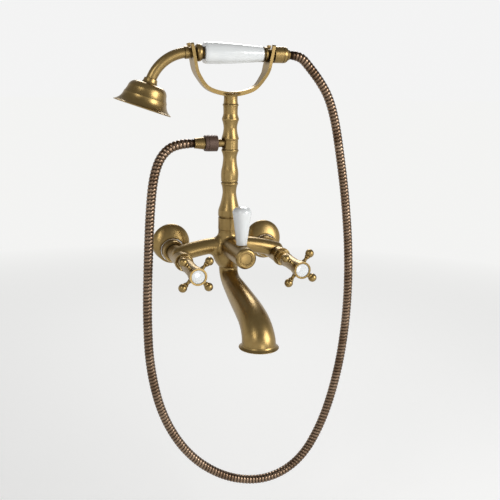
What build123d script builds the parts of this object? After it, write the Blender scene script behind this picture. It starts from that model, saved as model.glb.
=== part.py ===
"""Wall-mounted bath and shower mixer with a turned riser, a cradle, a telephone handset and a ribbed hose.

Millimetres. The origin is midway between the two wall inlets, on the wall face: +X runs right along the
wall, +Y goes into the wall and +Z is up.
"""

from build123d import *
import math
import os

# General fits and finishing
overrun = 4.0  # how far every cutting tool runs past the face it opens
fit_gap = 0.1  # between pieces of one assembly that slide together
turn_gap = 0.06  # radial running clearance of a turning spindle
face_gap = 0.3  # between the faces of pieces that move past each other
edge_soft = 0.8  # rounding of turned and machined edges
edge_round_share = 0.4  # largest part of a short edge that rounding may take
bend_limit = 175  # degrees; flatter corners than this are left alone

# Wall unions
inlet_spacing = 150.0  # centre to centre
union_drop = 9.0  # how far the eccentric unions carry the mixer below the inlets
tail_r = 10.48  # half-inch pipe thread, major radius
tail_length = 16.0
waterway_r = 6.0
neck_start = 3.0
neck_end = 11.0
union_thread_r = 13.2  # three-quarter-inch pipe thread, major radius
union_thread_length = 7.0
union_mouth_r = 9.5
flange_r = 29.5
flange_depth = 13.5
flange_wall = 1.6
flange_mouth_gap = 0.6  # between the flange's mouth and the nut
nut_r = 17.3
nut_start = 11.6
nut_length = 16.4
nut_lip = 5.0
nut_nose = 1.2  # how far the nut's front edge draws in
washer_thickness = 2.2
tailpiece_collar = 2.8
tailpiece_r = 10.0
tailpiece_thread_r = 9.5
tailpiece_thread_length = 10.0

# Body casting
riser_out = 63.0  # from the wall to the riser's axis
body_rear = 31.0  # from the wall to the back of the valve barrels
barrel_r = 12.2
barrel_front = 93.0
barrel_rim_r = 13.4
barrel_rim_length = 7.0
bar_rise = 8.0  # height of the handlebar tube at the middle, above the inlets
bar_lift = 5.0  # how far the handlebar tube's ends stand above the valves
bar_r = 11.8
bar_bore_r = 6.5
neck_r = 15.8
body_top = 31.0
bowl_r = 24.2
bowl_bottom = 25.5  # depth of the bowl's seam below the inlets
bowl_ring_r = 15.2
hub_fillet = 9.0  # where the handlebar tube grows out of the hub
boss_fillet = 6.0  # where the diverter boss grows out of both
body_bore_r = 7.5
spigot_r = 12.4
spigot_height = 8.6

# Valves
headwork_r = 8.5
headwork_depth = 35.0
headwork_flange = 5.0
headwork_hex_r = 11.8
headwork_neck_r = 7.0
headwork_neck_end = 118.0
disc_pocket_r = 7.6
disc_pocket_depth = 12.0
fixed_disc_thickness = 2.8
moving_disc_thickness = 3.1
seat_seal_thickness = 2.5
disc_port_r = 2.6
spindle_r = 3.5
spindle_end = 166.0

# Cross handles
handle_front = 176.0
handle_back = 112.0
skirt_r = 9.5
skirt_bore_r = 8.2
skirt_bore_end = 150.0
hub_ring_r = 12.3
hub_ring_length = 9.0
arm_plane = 162.5
arm_reach = 25.7  # axis to ball centre
arm_r = 2.7
ball_r = 6.1
arm_bead_r = 3.9
left_cross_angle = 44.0
right_cross_angle = 54.0
index_r = 9.3
index_depth = 4.0
index_crown = 0.9
screw_r = 2.0
screw_head_r = 4.2
screw_head = 2.8
handle_screw_length = 12.0

# Diverter
diverter_rise = 5.5
diverter_boss_r = 15.0
cartridge_r = 9.7
cartridge_depth = 28.0  # into the boss
cartridge_flange = 5.0
cartridge_neck_r = 7.4
cartridge_neck_length = 9.0
plug_r = 8.8
plug_disc_thickness = 3.2
diverter_spindle_r = 4.0
diverter_foot = 5.0
drum_r = 15.0
drum_length = 49.0
drum_bore_r = 8.2
drum_nose_r = 11.4
drum_nose_length = 5.0
cap_r = 9.8
cap_depth = 3.0  # of its flange, sunk in the drum's end
cap_stub_r = 6.2
cap_stub_length = 7.0
lever_out = 127.5  # from the wall to the lever's axis
lever_pad_r = 8.2
lever_pad_rise = 0.7
lever_length = 55.0
lever_tip_r = 13.2
lever_foot_r = 7.6
stud_r = 3.0
stud_grip = 16.0

# Spout
spout_reach = 150.0  # riser axis to the middle of the mouth
spout_drop = 76.0  # from the bowl's seam down to the lip
spout_wall = 3.0
spout_mouth_r = 23.2
spout_lip_r = 27.4
spout_lip_height = 5.6
stub_r = 10.2
stub_height = 14.5
ring_groove_depth = 1.5
o_ring_width = 2.2
lock_groove_r = 8.4
lock_screw_r = 1.6
lock_screw_head_r = 2.7
lock_screw_head = 3.2
lock_screw_angle = 60.0
lock_screw_rise = 3.6
lock_pad_r = 3.2
lock_pad_out = 20.4  # from the spout's axis

# Riser
collar_r = 16.1
collar_height = 18.0
riser_height = 163.0  # from the collar's top to the cradle's foot
riser_max_r = 16.3
riser_bore_r = 6.5
riser_washer_thickness = 1.2
outlet_height = 109.5  # of the hose outlet above the collar's top
outlet_neck_r = 5.9
outlet_neck_wall = 2.0
outlet_thread_r = 10.4  # half-inch pipe thread
outlet_nipple_end = 31.0
outlet_thread_length = 9.0

# Cradle
cradle_foot_r = 11.6
cradle_foot_height = 19.5
cradle_half_width = 57.6  # riser axis to the middle of each fork plate, at the handset's axis
fork_lean = 11.0  # degrees that the fork plates lean outward
band_thickness = 4.4
band_swell = 1.5  # how much thicker the band is over its foot
fork_width = 28.0
band_width = 13.0
fork_slot_r = 7.9
fork_tip_rise = 13.5  # above the handset's axis
cradle_stud_r = 5.0
cradle_stud_length = 24.0

# Handset
handset_rise = 53.3  # handset axis above the cradle's foot plane less its foot height
handset_neck_r = 7.4
ferrule_r = 12.2
ferrule_length = 12.2
grip_length = 87.0
grip_big_r = 15.2
grip_small_r = 11.0
grip_bore_r = 6.7
core_r = 6.4
core_bore_r = 4.6
tail_ring_r = 10.4
tail_collar_length = 8.8
tail_thread_length = 9.5
fork_gap = 0.5  # between the handset's rings and the fork plates
arm_bend_r = 60.0
arm_tilt = 18.0  # how far the rose leans out from straight down
arm_bore_r = 5.4
arm_collar_r = 8.7
arm_collar_length = 5.0
bell_r = 41.6
bell_height = 37.0
bell_neck_r = 10.2
plate_depth = 27.0  # from the bell's top to the back of the spray plate
plate_thickness = 2.4
plate_hole_r = 0.9

# Hose and its ends
hose_r = 7.0
hose_valley_r = 6.1
hose_bore_r = 4.4
hose_rib_count = 200
hose_nut_r = 11.8
hose_nut_length = 18.5
hose_nut_lip = 3.0
hose_washer_thickness = 2.0
sleeve_r = 8.6
outlet_shoulder_r = 8.9
handset_shoulder_r = 10.2
sleeve_flange = 2.6
outlet_sleeve_end = 53.6  # from the riser's axis to the hose at the outlet
handset_sleeve_end = 87.0  # from the riser's axis to the hose at the handset
hose_length = 1450.0
route_round_share = 0.45  # of the shorter leg that a corner's rounding takes

# Hose route in the plane of the riser: sideways from the riser's axis, height above the inlets
hose_route = [
    (-79.5, 158.5),
    (-101.5, 143.0),
    (-113.0, 113.0),
    (-118.5, 63.0),
    (-122.0, -12.0),
    (-124.5, -97.0),
    (-121.0, -181.0),
    (-101.0, -265.0),
    (-58.0, -336.0),
    (4.0, -382.0),
    (72.0, -395.0),
    (129.0, -368.0),
    (166.0, -305.0),
    (190.0, -219.0),
    (201.0, -125.0),
    (200.0, -27.0),
    (189.0, 69.0),
    (173.0, 154.0),
    (164.0, 194.0),
    (153.0, 225.0),
    (138.0, 248.0),
    (121.0, 267.5),
    (104.0, 285.0),
]

# Heights and places that several pieces share
lever_place_share = 0.494  # of the drum's length that lies behind the lever's axis
same_place = 0.001  # edges whose middles are nearer than this are the same edge
valve_z = -union_drop
diverter_z = diverter_rise
drum_start = lever_out - drum_length * lever_place_share
diverter_boss_front = drum_start - face_gap - cartridge_flange
cartridge_back = diverter_boss_front - cartridge_depth
seam_z = -bowl_bottom
collar_z = body_top + fit_gap
riser_z = collar_z + collar_height
outlet_z = riser_z + outlet_height
cradle_z = riser_z + riser_height
handset_z = cradle_z + cradle_foot_height + handset_rise
fork_slope = math.tan(math.radians(fork_lean))
plate_inner = cradle_half_width - band_thickness / math.cos(math.radians(fork_lean)) / 2
plate_outer = cradle_half_width + band_thickness / math.cos(math.radians(fork_lean)) / 2
ferrule_start = -(plate_inner - ferrule_r * fork_slope - fork_gap)
grip_start = ferrule_start + ferrule_length
grip_end = grip_start + grip_length
tail_start = plate_inner - tail_ring_r * fork_slope - fork_gap
fork_tip_outer = plate_outer + fork_tip_rise * fork_slope
arm_collar_start = fork_tip_outer + fork_gap
nut_over_neck = hose_nut_length - tail_thread_length - hose_washer_thickness - sleeve_flange - hose_nut_lip
tail_thread_start = fork_tip_outer + fork_gap + nut_over_neck
tail_thread_end = tail_thread_start + tail_thread_length

# Shapes as shares of the sizes above
hub_profile_shares = [(0.77, 0.08), (0.94, 0.22), (1.0, 0.38), (0.9, 0.56), (0.73, 0.74), (0.66, 0.88)]
riser_profile_shares = [
    (0.94, 0.0, 0.0),
    (1.0, 0.018, 0.0),
    (0.985, 0.07, 0.01),
    (0.62, 0.225, -0.05),
    (0.70, 0.29, -0.02),
    (0.765, 0.305, 0.0),
    (0.765, 0.317, 0.01),
    (0.71, 0.321, 0.0),
    (0.71, 0.327, 0.0),
    (0.765, 0.331, 0.0),
    (0.765, 0.345, 0.01),
    (0.75, 0.435, 0.03),
    (0.61, 0.54, -0.03),
    (0.77, 0.602, -0.03),
    (0.77, 0.612, 0.01),
    (0.72, 0.62, 0.0),
    (0.72, 0.70, 0.0),
    (0.77, 0.708, 0.0),
    (0.77, 0.718, 0.01),
    (0.60, 0.805, -0.03),
    (0.75, 0.875, -0.03),
    (0.75, 0.89, 0.01),
    (0.64, 0.93, -0.01),
    (0.66, 1.0, -0.01),
]
flange_section_shares = [
    (0.0, 1.0, 0.0),
    (0.18, 0.99, 0.02),
    (0.4, 0.95, 0.16),
    (0.62, 0.885, 0.42),
    (0.83, 0.79, 0.74),
]
spout_section_shares = [
    (0.0, 0.0, 0.612),
    (0.016, 0.119, 0.603),
    (0.063, 0.21, 0.608),
    (0.133, 0.27, 0.629),
    (0.247, 0.324, 0.681),
    (0.513, 0.4345, 0.793),
    (0.733, 0.527, 0.862),
    (0.887, 0.643, 0.918),
    (0.973, 0.792, 0.966),
    (1.0, 0.93, 1.0),
]
spout_falls = [90, 62, 37, 22, 14.5, 13, 20, 40, 67, 90]  # degrees below level, section by section
lip_profile_shares = [(0.0, 0.0), (0.2, 0.36), (0.62, 0.68), (1.0, 0.84), (0.94, 1.0)]
bell_outer_shares = [
    (0.29, 0.09, 0.0),
    (0.66, 0.3, 0.09),
    (0.745, 0.58, -0.012),
    (1.0, 0.97, -0.06),
    (0.985, 1.0, 0.0),
]
bell_inner_shares = [
    (0.93, 1.0, 0.0),
    (0.76, 0.84, 0.055),
    (0.685, 0.57, 0.0),
    (0.6, 0.34, 0.012),
    (0.2, 0.15, -0.09),
]
lever_profile_shares = [(1.0, 0.8, -0.015), (0.72, 0.965, 0.14), (0.0, 1.0, 0.03)]
grip_profile_shares = [
    (0.93, 0.0, 0.0),
    (1.0, 0.05, 0.01),
    (0.985, 0.3, 0.0),
    (0.73, 0.94, 0.01),
    (0.66, 1.0, 0.02),
]
ferrule_profile_shares = [(0.8, 0.0, 0.0), (1.0, 0.34, 0.05), (0.7, 0.84, 0.09), (0.7, 1.0, 0.0)]
band_outline_shares = [(0.34, 0.035), (0.64, 0.14), (0.82, 0.32)]
plate_ring_shares = [0.28, 0.55, 0.82]
plate_ring_counts = [8, 16, 24]
rib_profile_shares = [(0.0, 0.0), (0.22, 1.0), (0.62, 1.0), (0.84, 0.0)]

nodes = {}


def rod(radius, start, end):
    """A round bar along Z."""
    return Pos(0, 0, start) * Cylinder(radius, end - start, align=(Align.CENTER, Align.CENTER, Align.MIN))


def ring(outer, inner, start, end):
    """A round bar along Z with a through bore."""
    return rod(outer, start, end) - rod(inner, start - overrun, end + overrun)


def corner_cut(before, here, after, radius):
    """How far a rounded corner reaches along its two edges, and its two tangent points and middle."""
    to_before = (before - here).normalized()
    to_after = (after - here).normalized()
    half_turn = math.radians(to_before.get_angle(to_after)) / 2
    room = edge_round_share * min((before - here).length, (after - here).length)
    reach = min(radius / math.tan(half_turn), room)
    radius = reach * math.tan(half_turn)
    centre = here + (to_before + to_after).normalized() * (radius / math.sin(half_turn))
    middle = centre + (here - centre).normalized() * radius
    return here + to_before * reach, middle, here + to_after * reach


def turned(points, soft=edge_soft):
    """A solid of revolution about Z from a closed outline of (radius, height) points.

    A third number bulges the edge that ends at its point to the right of its direction by that much, or, at
    a point on the axis, makes the edge an arc square to the axis. Outer corners between straight edges are
    rounded, and inner corners stay sharp.
    """
    count = len(points)
    corners = [Vector(p[0], 0, p[1]) for p in points]
    bulges = [p[2] if len(p) > 2 else 0 for p in points]
    area = sum(a.cross(b).Y for a, b in zip(corners, corners[1:] + corners[:1]))
    starts, ends, edges = list(corners), list(corners), []
    for i, here in enumerate(corners):
        before, after = corners[i - 1], corners[(i + 1) % count]
        straight = bulges[i] == 0 and bulges[(i + 1) % count] == 0
        outer = (here - before).cross(after - here).Y * area > 0
        angle = (before - here).get_angle(after - here)
        if soft > 0 and straight and outer and here.X > 0 and angle < bend_limit:
            ends[i], middle, starts[i] = corner_cut(before, here, after, soft)
            edges.append(ThreePointArc(ends[i], middle, starts[i]))
    for i, here in enumerate(ends):
        start = starts[i - 1]
        if (here - start).length == 0:
            continue
        along = (here - start).normalized()
        if bulges[i] == 0:
            edges.append(Line(start, here))
        elif here.X == 0:
            centre = Vector(0, 0, (start.X ** 2 + start.Z ** 2 - here.Z ** 2) / (2 * (start.Z - here.Z)))
            halfway = ((start - centre).normalized() + (here - centre).normalized()).normalized()
            edges.append(ThreePointArc(start, centre + halfway * (here - centre).length, here))
        else:
            side = Vector(along.Z, 0, -along.X) * bulges[i]
            edges.append(ThreePointArc(start, (start + here) / 2 + side, here))
    return revolve(make_face(Curve() + edges), axis=Axis.Z)


def tube_loft(sections, ruled=False):
    """A loft through circles given as (plane, radius)."""
    return loft([plane * Circle(radius) for plane, radius in sections], ruled=ruled)


def outward(x, z):
    """A frame on the wall whose Z runs straight out of it and whose Y is up."""
    return Plane(origin=(x, 0, z), x_dir=(1, 0, 0), z_dir=(0, -1, 0)).location


def sideways(z, direction=1):
    """A frame on the riser's axis whose Z runs along the wall, and whose X is out of the wall or into it."""
    return Plane(origin=(0, -riser_out, z), x_dir=(0, -1, 0), z_dir=(direction, 0, 0)).location


def build_union(side, name):
    """Flange, eccentric union, nut and flanged tailpiece of one inlet."""
    wall = outward(side * inlet_spacing / 2, 0)
    offset = Pos(0, -union_drop, 0)
    thread_end = neck_end + union_thread_length
    washer_end = thread_end + washer_thickness
    neck_from = Plane((0, 0, neck_start))
    neck_to = Plane((0, -union_drop, neck_end))
    neck = tube_loft([(neck_from, tail_r), (neck_to, union_thread_r)])
    passage = tube_loft([(neck_from, waterway_r), (neck_to, union_mouth_r)])
    union = rod(tail_r, -tail_length, neck_start) + neck + offset * rod(union_thread_r, neck_end, thread_end)
    union -= rod(waterway_r, -tail_length - overrun, neck_start)
    union -= passage + offset * rod(union_mouth_r, neck_end, thread_end + overrun)
    nodes["eccentric_union_" + name] = wall * union

    mouth_r = nut_r + flange_mouth_gap
    outer, inner = [], []
    for depth, width, drop in flange_section_shares:
        centre = Plane((0, -union_drop * drop, flange_depth * depth))
        outer.append((centre, flange_r * width))
        inner.append((centre, flange_r * width - flange_wall))
    front = Plane((0, -union_drop, flange_depth))
    shell = tube_loft(outer + [(front, mouth_r + flange_wall)]) - tube_loft(inner + [(front, mouth_r)])
    nodes["wall_flange_" + name] = wall * shell

    inner_r = union_thread_r + fit_gap
    nut_end = nut_start + nut_length
    nut = turned([
        (inner_r, nut_start),
        (nut_r, nut_start),
        (nut_r, nut_end - nut_lip),
        (nut_r - nut_nose, nut_end),
        (tailpiece_r + fit_gap, nut_end),
        (tailpiece_r + fit_gap, nut_end - nut_lip),
        (inner_r, nut_end - nut_lip),
    ], soft=edge_soft / 2)
    nodes["union_nut_" + name] = wall * offset * nut

    collar_end = washer_end + tailpiece_collar
    thread_tip = body_rear + tailpiece_thread_length
    nodes["inlet_tailpiece_" + name] = wall * offset * turned([
        (waterway_r, washer_end),
        (union_thread_r - fit_gap, washer_end),
        (union_thread_r - fit_gap, collar_end),
        (tailpiece_r, collar_end),
        (tailpiece_r, body_rear),
        (tailpiece_thread_r, body_rear),
        (tailpiece_thread_r, thread_tip),
        (waterway_r, thread_tip),
    ], soft=edge_soft / 2)
    return wall * offset * ring(union_thread_r - fit_gap, union_mouth_r, thread_end, washer_end)


def build_hub():
    """The hub on the riser's axis, one smooth curve from the seam over the bowl to the neck, turned."""
    height = body_top - seam_z
    side = [Vector(bowl_ring_r, 0, seam_z)]
    for r, z in hub_profile_shares:
        side.append(Vector(bowl_r * r, 0, seam_z + height * z))
    side.append(Vector(neck_r, 0, body_top))
    foot, top = Vector(0, 0, seam_z), Vector(0, 0, body_top)
    outline = Curve() + [Spline(side), Line(side[-1], top), Line(top, foot), Line(foot, side[0])]
    return Pos(0, -riser_out, 0) * Rot(0, 0, 45) * revolve(make_face(outline), axis=Axis.Z)


def meeting_edges(joined, pieces):
    """The curved edges along which joined pieces meet, which none of the pieces had."""
    own = [edge.center() for piece in pieces for edge in piece.edges()]
    fresh = [edge for edge in joined.edges() if edge.geom_type == GeomType.BSPLINE]
    return [edge for edge in fresh if all((edge.center() - middle).length > same_place for middle in own)]


def build_body():
    """The casting: handlebar tube, valve barrels, diverter boss, neck and bowl, with its waterways."""
    half = inlet_spacing / 2
    axis = Pos(0, -riser_out, 0)
    ends = [Vector(side * half, -riser_out, valve_z + bar_lift) for side in (-1, 1)]
    bar_path = ThreePointArc(ends[0], (0, -riser_out, bar_rise), ends[1])
    bar_start = Plane(origin=bar_path @ 0, z_dir=bar_path % 0)
    bar = sweep(bar_start * Circle(bar_r), path=bar_path)
    bar_bore = sweep(bar_start * Circle(bar_bore_r), path=bar_path)
    barrels, bores = [], []
    for side in (-1, 1):
        valve = outward(side * half, valve_z)
        rim_start = barrel_front - barrel_rim_length
        barrels.append(valve * turned([
            (0, body_rear),
            (barrel_r, body_rear),
            (barrel_r, rim_start),
            (barrel_rim_r, rim_start + (barrel_rim_r - barrel_r)),
            (barrel_rim_r, barrel_front),
            (0, barrel_front),
        ]))
        pocket = barrel_front - headwork_depth - seat_seal_thickness
        bores.append(valve * rod(tailpiece_thread_r + fit_gap, 0, body_rear + tailpiece_thread_length))
        bores.append(valve * rod(waterway_r, 0, pocket + overrun))
        bores.append(valve * rod(headwork_r + fit_gap, pocket, barrel_front + overrun))
    hub = build_hub()
    elbows = [Pos(*end) * Sphere(bar_r) for end in ends]
    spigot_top = body_top + spigot_height
    boss = outward(0, diverter_z) * Rot(0, 0, 180) * rod(diverter_boss_r, riser_out, diverter_boss_front)
    body = hub + bar
    body = fillet(meeting_edges(body, [hub, bar]), hub_fillet)
    blended = body + boss
    body = fillet(meeting_edges(blended, [body, boss]), boss_fillet)
    body += axis * rod(spigot_r, body_top, spigot_top)
    for piece in elbows + barrels:
        body += piece
    body += lock_screw_frame() * rod(lock_pad_r, stub_r, lock_pad_out)
    body -= bar_bore
    for bore in bores:
        body -= bore
    socket_top = seam_z + stub_height + face_gap
    body -= axis * rod(body_bore_r, seam_z, spigot_top + overrun)
    body -= axis * rod(stub_r + turn_gap, seam_z - overrun, socket_top)
    cartridge_seat = rod(cartridge_r + fit_gap, cartridge_back, diverter_boss_front + overrun)
    body -= outward(0, diverter_z) * cartridge_seat
    body -= lock_screw_frame() * rod(lock_screw_r, stub_r / 2, lock_pad_out + overrun)
    nodes["mixer_body"] = body


def lock_screw_frame():
    """A frame on the riser's axis whose Z points out through the spout's lock screw."""
    turn = math.radians(lock_screw_angle)
    origin = (0, -riser_out, seam_z + lock_screw_rise)
    return Plane(origin=origin, x_dir=(0, 0, 1), z_dir=(math.sin(turn), -math.cos(turn), 0)).location


def port_disc(radius, start, end, port_r):
    """A ceramic disc with two opposite ports."""
    disc = rod(radius, start, end)
    for side in (-1, 1):
        disc -= Pos(side * radius / 2, 0, 0) * rod(port_r, start - overrun, end + overrun)
    return disc


def build_valve(side, name, cross_angle):
    """Headwork, ceramic discs, spindle, cross handle, screw and index disc of one valve."""
    valve = outward(side * inlet_spacing / 2, valve_z)
    seat = barrel_front - headwork_depth
    hex_end = barrel_front + headwork_flange
    pocket_end = seat + disc_pocket_depth
    headwork = rod(headwork_r, seat, barrel_front)
    headwork += Pos(0, 0, barrel_front) * extrude(RegularPolygon(headwork_hex_r, 6), headwork_flange)
    headwork += rod(headwork_neck_r, hex_end, headwork_neck_end)
    headwork -= rod(disc_pocket_r, seat - overrun, pocket_end)
    headwork -= rod(spindle_r + turn_gap, pocket_end, headwork_neck_end + overrun)
    nodes["headwork_" + name] = valve * headwork

    fixed_end = seat + fixed_disc_thickness
    moving_start = fixed_end + face_gap
    moving_end = moving_start + moving_disc_thickness
    disc_r = disc_pocket_r - fit_gap
    nodes["fixed_disc_" + name] = valve * port_disc(disc_r, seat, fixed_end, disc_port_r)
    running_r = disc_pocket_r - face_gap
    nodes["moving_disc_" + name] = valve * port_disc(running_r, moving_start, moving_end, disc_port_r)

    hub_floor = handle_front - index_depth
    screw_floor = hub_floor - screw_head - fit_gap
    spindle = rod(running_r, moving_end, pocket_end - face_gap) + rod(spindle_r, moving_end, spindle_end)
    spindle -= rod(screw_r, spindle_end - handle_screw_length, spindle_end + overrun)
    nodes["spindle_" + name] = valve * spindle

    screw = rod(screw_r - fit_gap / 2, screw_floor - handle_screw_length, screw_floor)
    screw += turned([
        (0, screw_floor),
        (screw_head_r, screw_floor),
        (screw_head_r, screw_floor + screw_head),
        (0, screw_floor + screw_head),
    ], soft=edge_soft / 2)
    slot_depth = screw_head / 2
    slot = Box(2 * screw_head_r, screw_r / 2, slot_depth, align=(Align.CENTER, Align.CENTER, Align.MIN))
    screw -= Pos(0, 0, screw_floor + slot_depth) * slot
    nodes["handle_screw_" + name] = valve * screw

    ring_start = handle_front - hub_ring_length
    hub_r = (skirt_r + hub_ring_r) / 2
    hub_start = arm_plane - arm_r * 2
    lip = skirt_r - skirt_bore_r
    handle = turned([
        (skirt_bore_r, handle_back),
        (skirt_r + lip / 2, handle_back),
        (skirt_r + lip / 2, handle_back + lip * 2),
        (skirt_r, handle_back + lip * 3),
        (skirt_r, hub_start - hub_ring_r + hub_r),
        (hub_r, hub_start),
        (hub_r, ring_start),
        (hub_ring_r, ring_start + (hub_ring_r - hub_r)),
        (hub_ring_r, handle_front),
        (index_r + fit_gap, handle_front),
        (index_r + fit_gap, hub_floor),
        (screw_head_r + fit_gap, hub_floor),
        (screw_head_r + fit_gap, screw_floor),
        (screw_r + fit_gap, screw_floor),
        (screw_r + fit_gap, spindle_end + edge_soft / 2),
        (spindle_r, spindle_end + edge_soft / 2),
        (spindle_r, skirt_bore_end),
        (skirt_bore_r, skirt_bore_end),
    ], soft=edge_soft / 2)
    neck_out = arm_reach - ball_r
    for quarter in range(4):
        arm = Plane(origin=(0, 0, arm_plane), x_dir=(0, 0, 1), z_dir=(1, 0, 0)).location
        bar = turned([
            (0, hub_r - arm_r),
            (arm_r * 1.25, hub_r - arm_r),
            (arm_r * 1.25, hub_r),
            (arm_r, hub_r + arm_r),
            (arm_r * 0.9, neck_out - arm_r, -arm_r * 0.06),
            (arm_bead_r, neck_out),
            (arm_bead_r, neck_out + arm_r * 0.5),
            (0, arm_reach),
        ], soft=edge_soft / 2)
        ball = Pos(0, 0, arm_reach) * Sphere(ball_r)
        handle += Rot(0, 0, cross_angle + 90 * quarter) * arm * (bar + ball)
    nodes["cross_handle_" + name] = valve * handle

    nodes["index_disc_" + name] = valve * turned([
        (0, hub_floor),
        (index_r, hub_floor),
        (index_r, handle_front - index_crown),
        (0, handle_front, index_crown),
    ], soft=edge_soft / 2)
    return valve * ring(headwork_r, disc_port_r * 2, seat - seat_seal_thickness, seat)


def build_diverter():
    """Cartridge and discs in the boss, and the drum, cap, stud and ceramic lever that turn together."""
    axis = outward(0, diverter_z)
    pocket_r = plug_r + fit_gap
    fixed_end = cartridge_back + plug_disc_thickness
    moving_start = fixed_end + face_gap
    moving_end = moving_start + plug_disc_thickness
    foot_end = moving_end + diverter_foot
    pocket_end = foot_end + face_gap
    flange_end = diverter_boss_front + cartridge_flange
    neck_end = flange_end + cartridge_neck_length
    cartridge = turned([
        (pocket_r, cartridge_back),
        (cartridge_r, cartridge_back),
        (cartridge_r, diverter_boss_front),
        (diverter_boss_r, diverter_boss_front),
        (diverter_boss_r, flange_end),
        (cartridge_neck_r, flange_end),
        (cartridge_neck_r, neck_end),
        (diverter_spindle_r + turn_gap, neck_end),
        (diverter_spindle_r + turn_gap, pocket_end),
        (pocket_r, pocket_end),
    ], soft=edge_soft / 2)
    nodes["diverter_cartridge"] = axis * cartridge
    running_r = pocket_r - face_gap
    nodes["diverter_fixed_disc"] = axis * port_disc(plug_r, cartridge_back, fixed_end, disc_port_r)
    nodes["diverter_moving_disc"] = axis * port_disc(running_r, moving_start, moving_end, disc_port_r)

    drum_end = drum_start + drum_length
    cap_floor = drum_end - cap_depth
    stub_start = drum_end - cap_stub_length
    screw_floor = stub_start - screw_head - fit_gap
    spindle_tip = screw_floor - screw_head / 2
    spindle = rod(running_r, moving_end, foot_end) + rod(diverter_spindle_r, foot_end, spindle_tip)
    spindle -= rod(screw_r, spindle_tip - handle_screw_length / 2, spindle_tip + overrun)
    nodes["diverter_spindle"] = axis * spindle

    screw = rod(screw_r - fit_gap / 2, screw_floor - handle_screw_length / 2, screw_floor)
    screw += rod(screw_head_r, screw_floor, screw_floor + screw_head)
    nodes["diverter_screw"] = axis * screw

    drum = turned([
        (drum_bore_r, drum_start),
        (drum_r, drum_start),
        (drum_r, drum_end - drum_nose_length),
        (drum_nose_r, drum_end, (drum_r - drum_nose_r) / 3),
        (cap_r + fit_gap, drum_end),
        (cap_r + fit_gap, cap_floor),
        (cap_stub_r + fit_gap, cap_floor),
        (cap_stub_r + fit_gap, screw_floor),
        (screw_r + fit_gap, screw_floor),
        (screw_r + fit_gap, spindle_tip),
        (diverter_spindle_r, spindle_tip),
        (diverter_spindle_r, neck_end + face_gap),
        (drum_bore_r, neck_end + face_gap),
    ], soft=edge_soft / 2)
    lever = Plane(origin=(0, 0, lever_out), x_dir=(1, 0, 0), z_dir=(0, 1, 0)).location
    pad_top = drum_r + lever_pad_rise
    socket = lever * rod(stud_r + fit_gap, diverter_spindle_r + stud_r, pad_top + overrun)
    drum += lever * rod(lever_pad_r, drum_r / 2, pad_top)
    drum -= axis_core(drum_end, neck_end, screw_floor, spindle_tip)
    drum -= socket
    nodes["diverter_drum"] = axis * drum

    cap_end = drum_end - face_gap
    recess = cap_depth / 3
    cap = turned([
        (0, stub_start),
        (cap_stub_r, stub_start),
        (cap_stub_r, cap_floor),
        (cap_r, cap_floor),
        (cap_r, cap_end),
        (cap_r * 0.88, cap_end),
        (cap_r * 0.82, cap_end - recess),
        (0, cap_end - recess / 2, recess),
    ], soft=edge_soft / 2)
    nodes["diverter_cap"] = axis * cap

    nodes["lever_stud"] = axis * lever * rod(stud_r, diverter_spindle_r + stud_r, pad_top + stud_grip)
    outline = [(0, pad_top), (lever_foot_r, pad_top)]
    for r, z, b in lever_profile_shares:
        outline.append((lever_tip_r * r, pad_top + lever_length * z, lever_tip_r * b))
    stud_hole = rod(stud_r + fit_gap, pad_top - overrun, pad_top + stud_grip + fit_gap)
    ceramic = turned(outline, soft=0) - stud_hole
    nodes["diverter_lever"] = axis * lever * ceramic


def axis_core(drum_end, neck_end, screw_floor, spindle_tip):
    """The hollow along the drum's axis, cut again after the lever's pad has been added."""
    core = rod(drum_bore_r, drum_start - overrun, neck_end + face_gap)
    core += rod(diverter_spindle_r, neck_end, spindle_tip)
    core += rod(screw_r + fit_gap, spindle_tip, screw_floor + overrun)
    core += rod(cap_r + fit_gap, drum_end - cap_depth, drum_end + overrun)
    return core + rod(cap_stub_r + fit_gap, screw_floor, drum_end + overrun)


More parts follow.
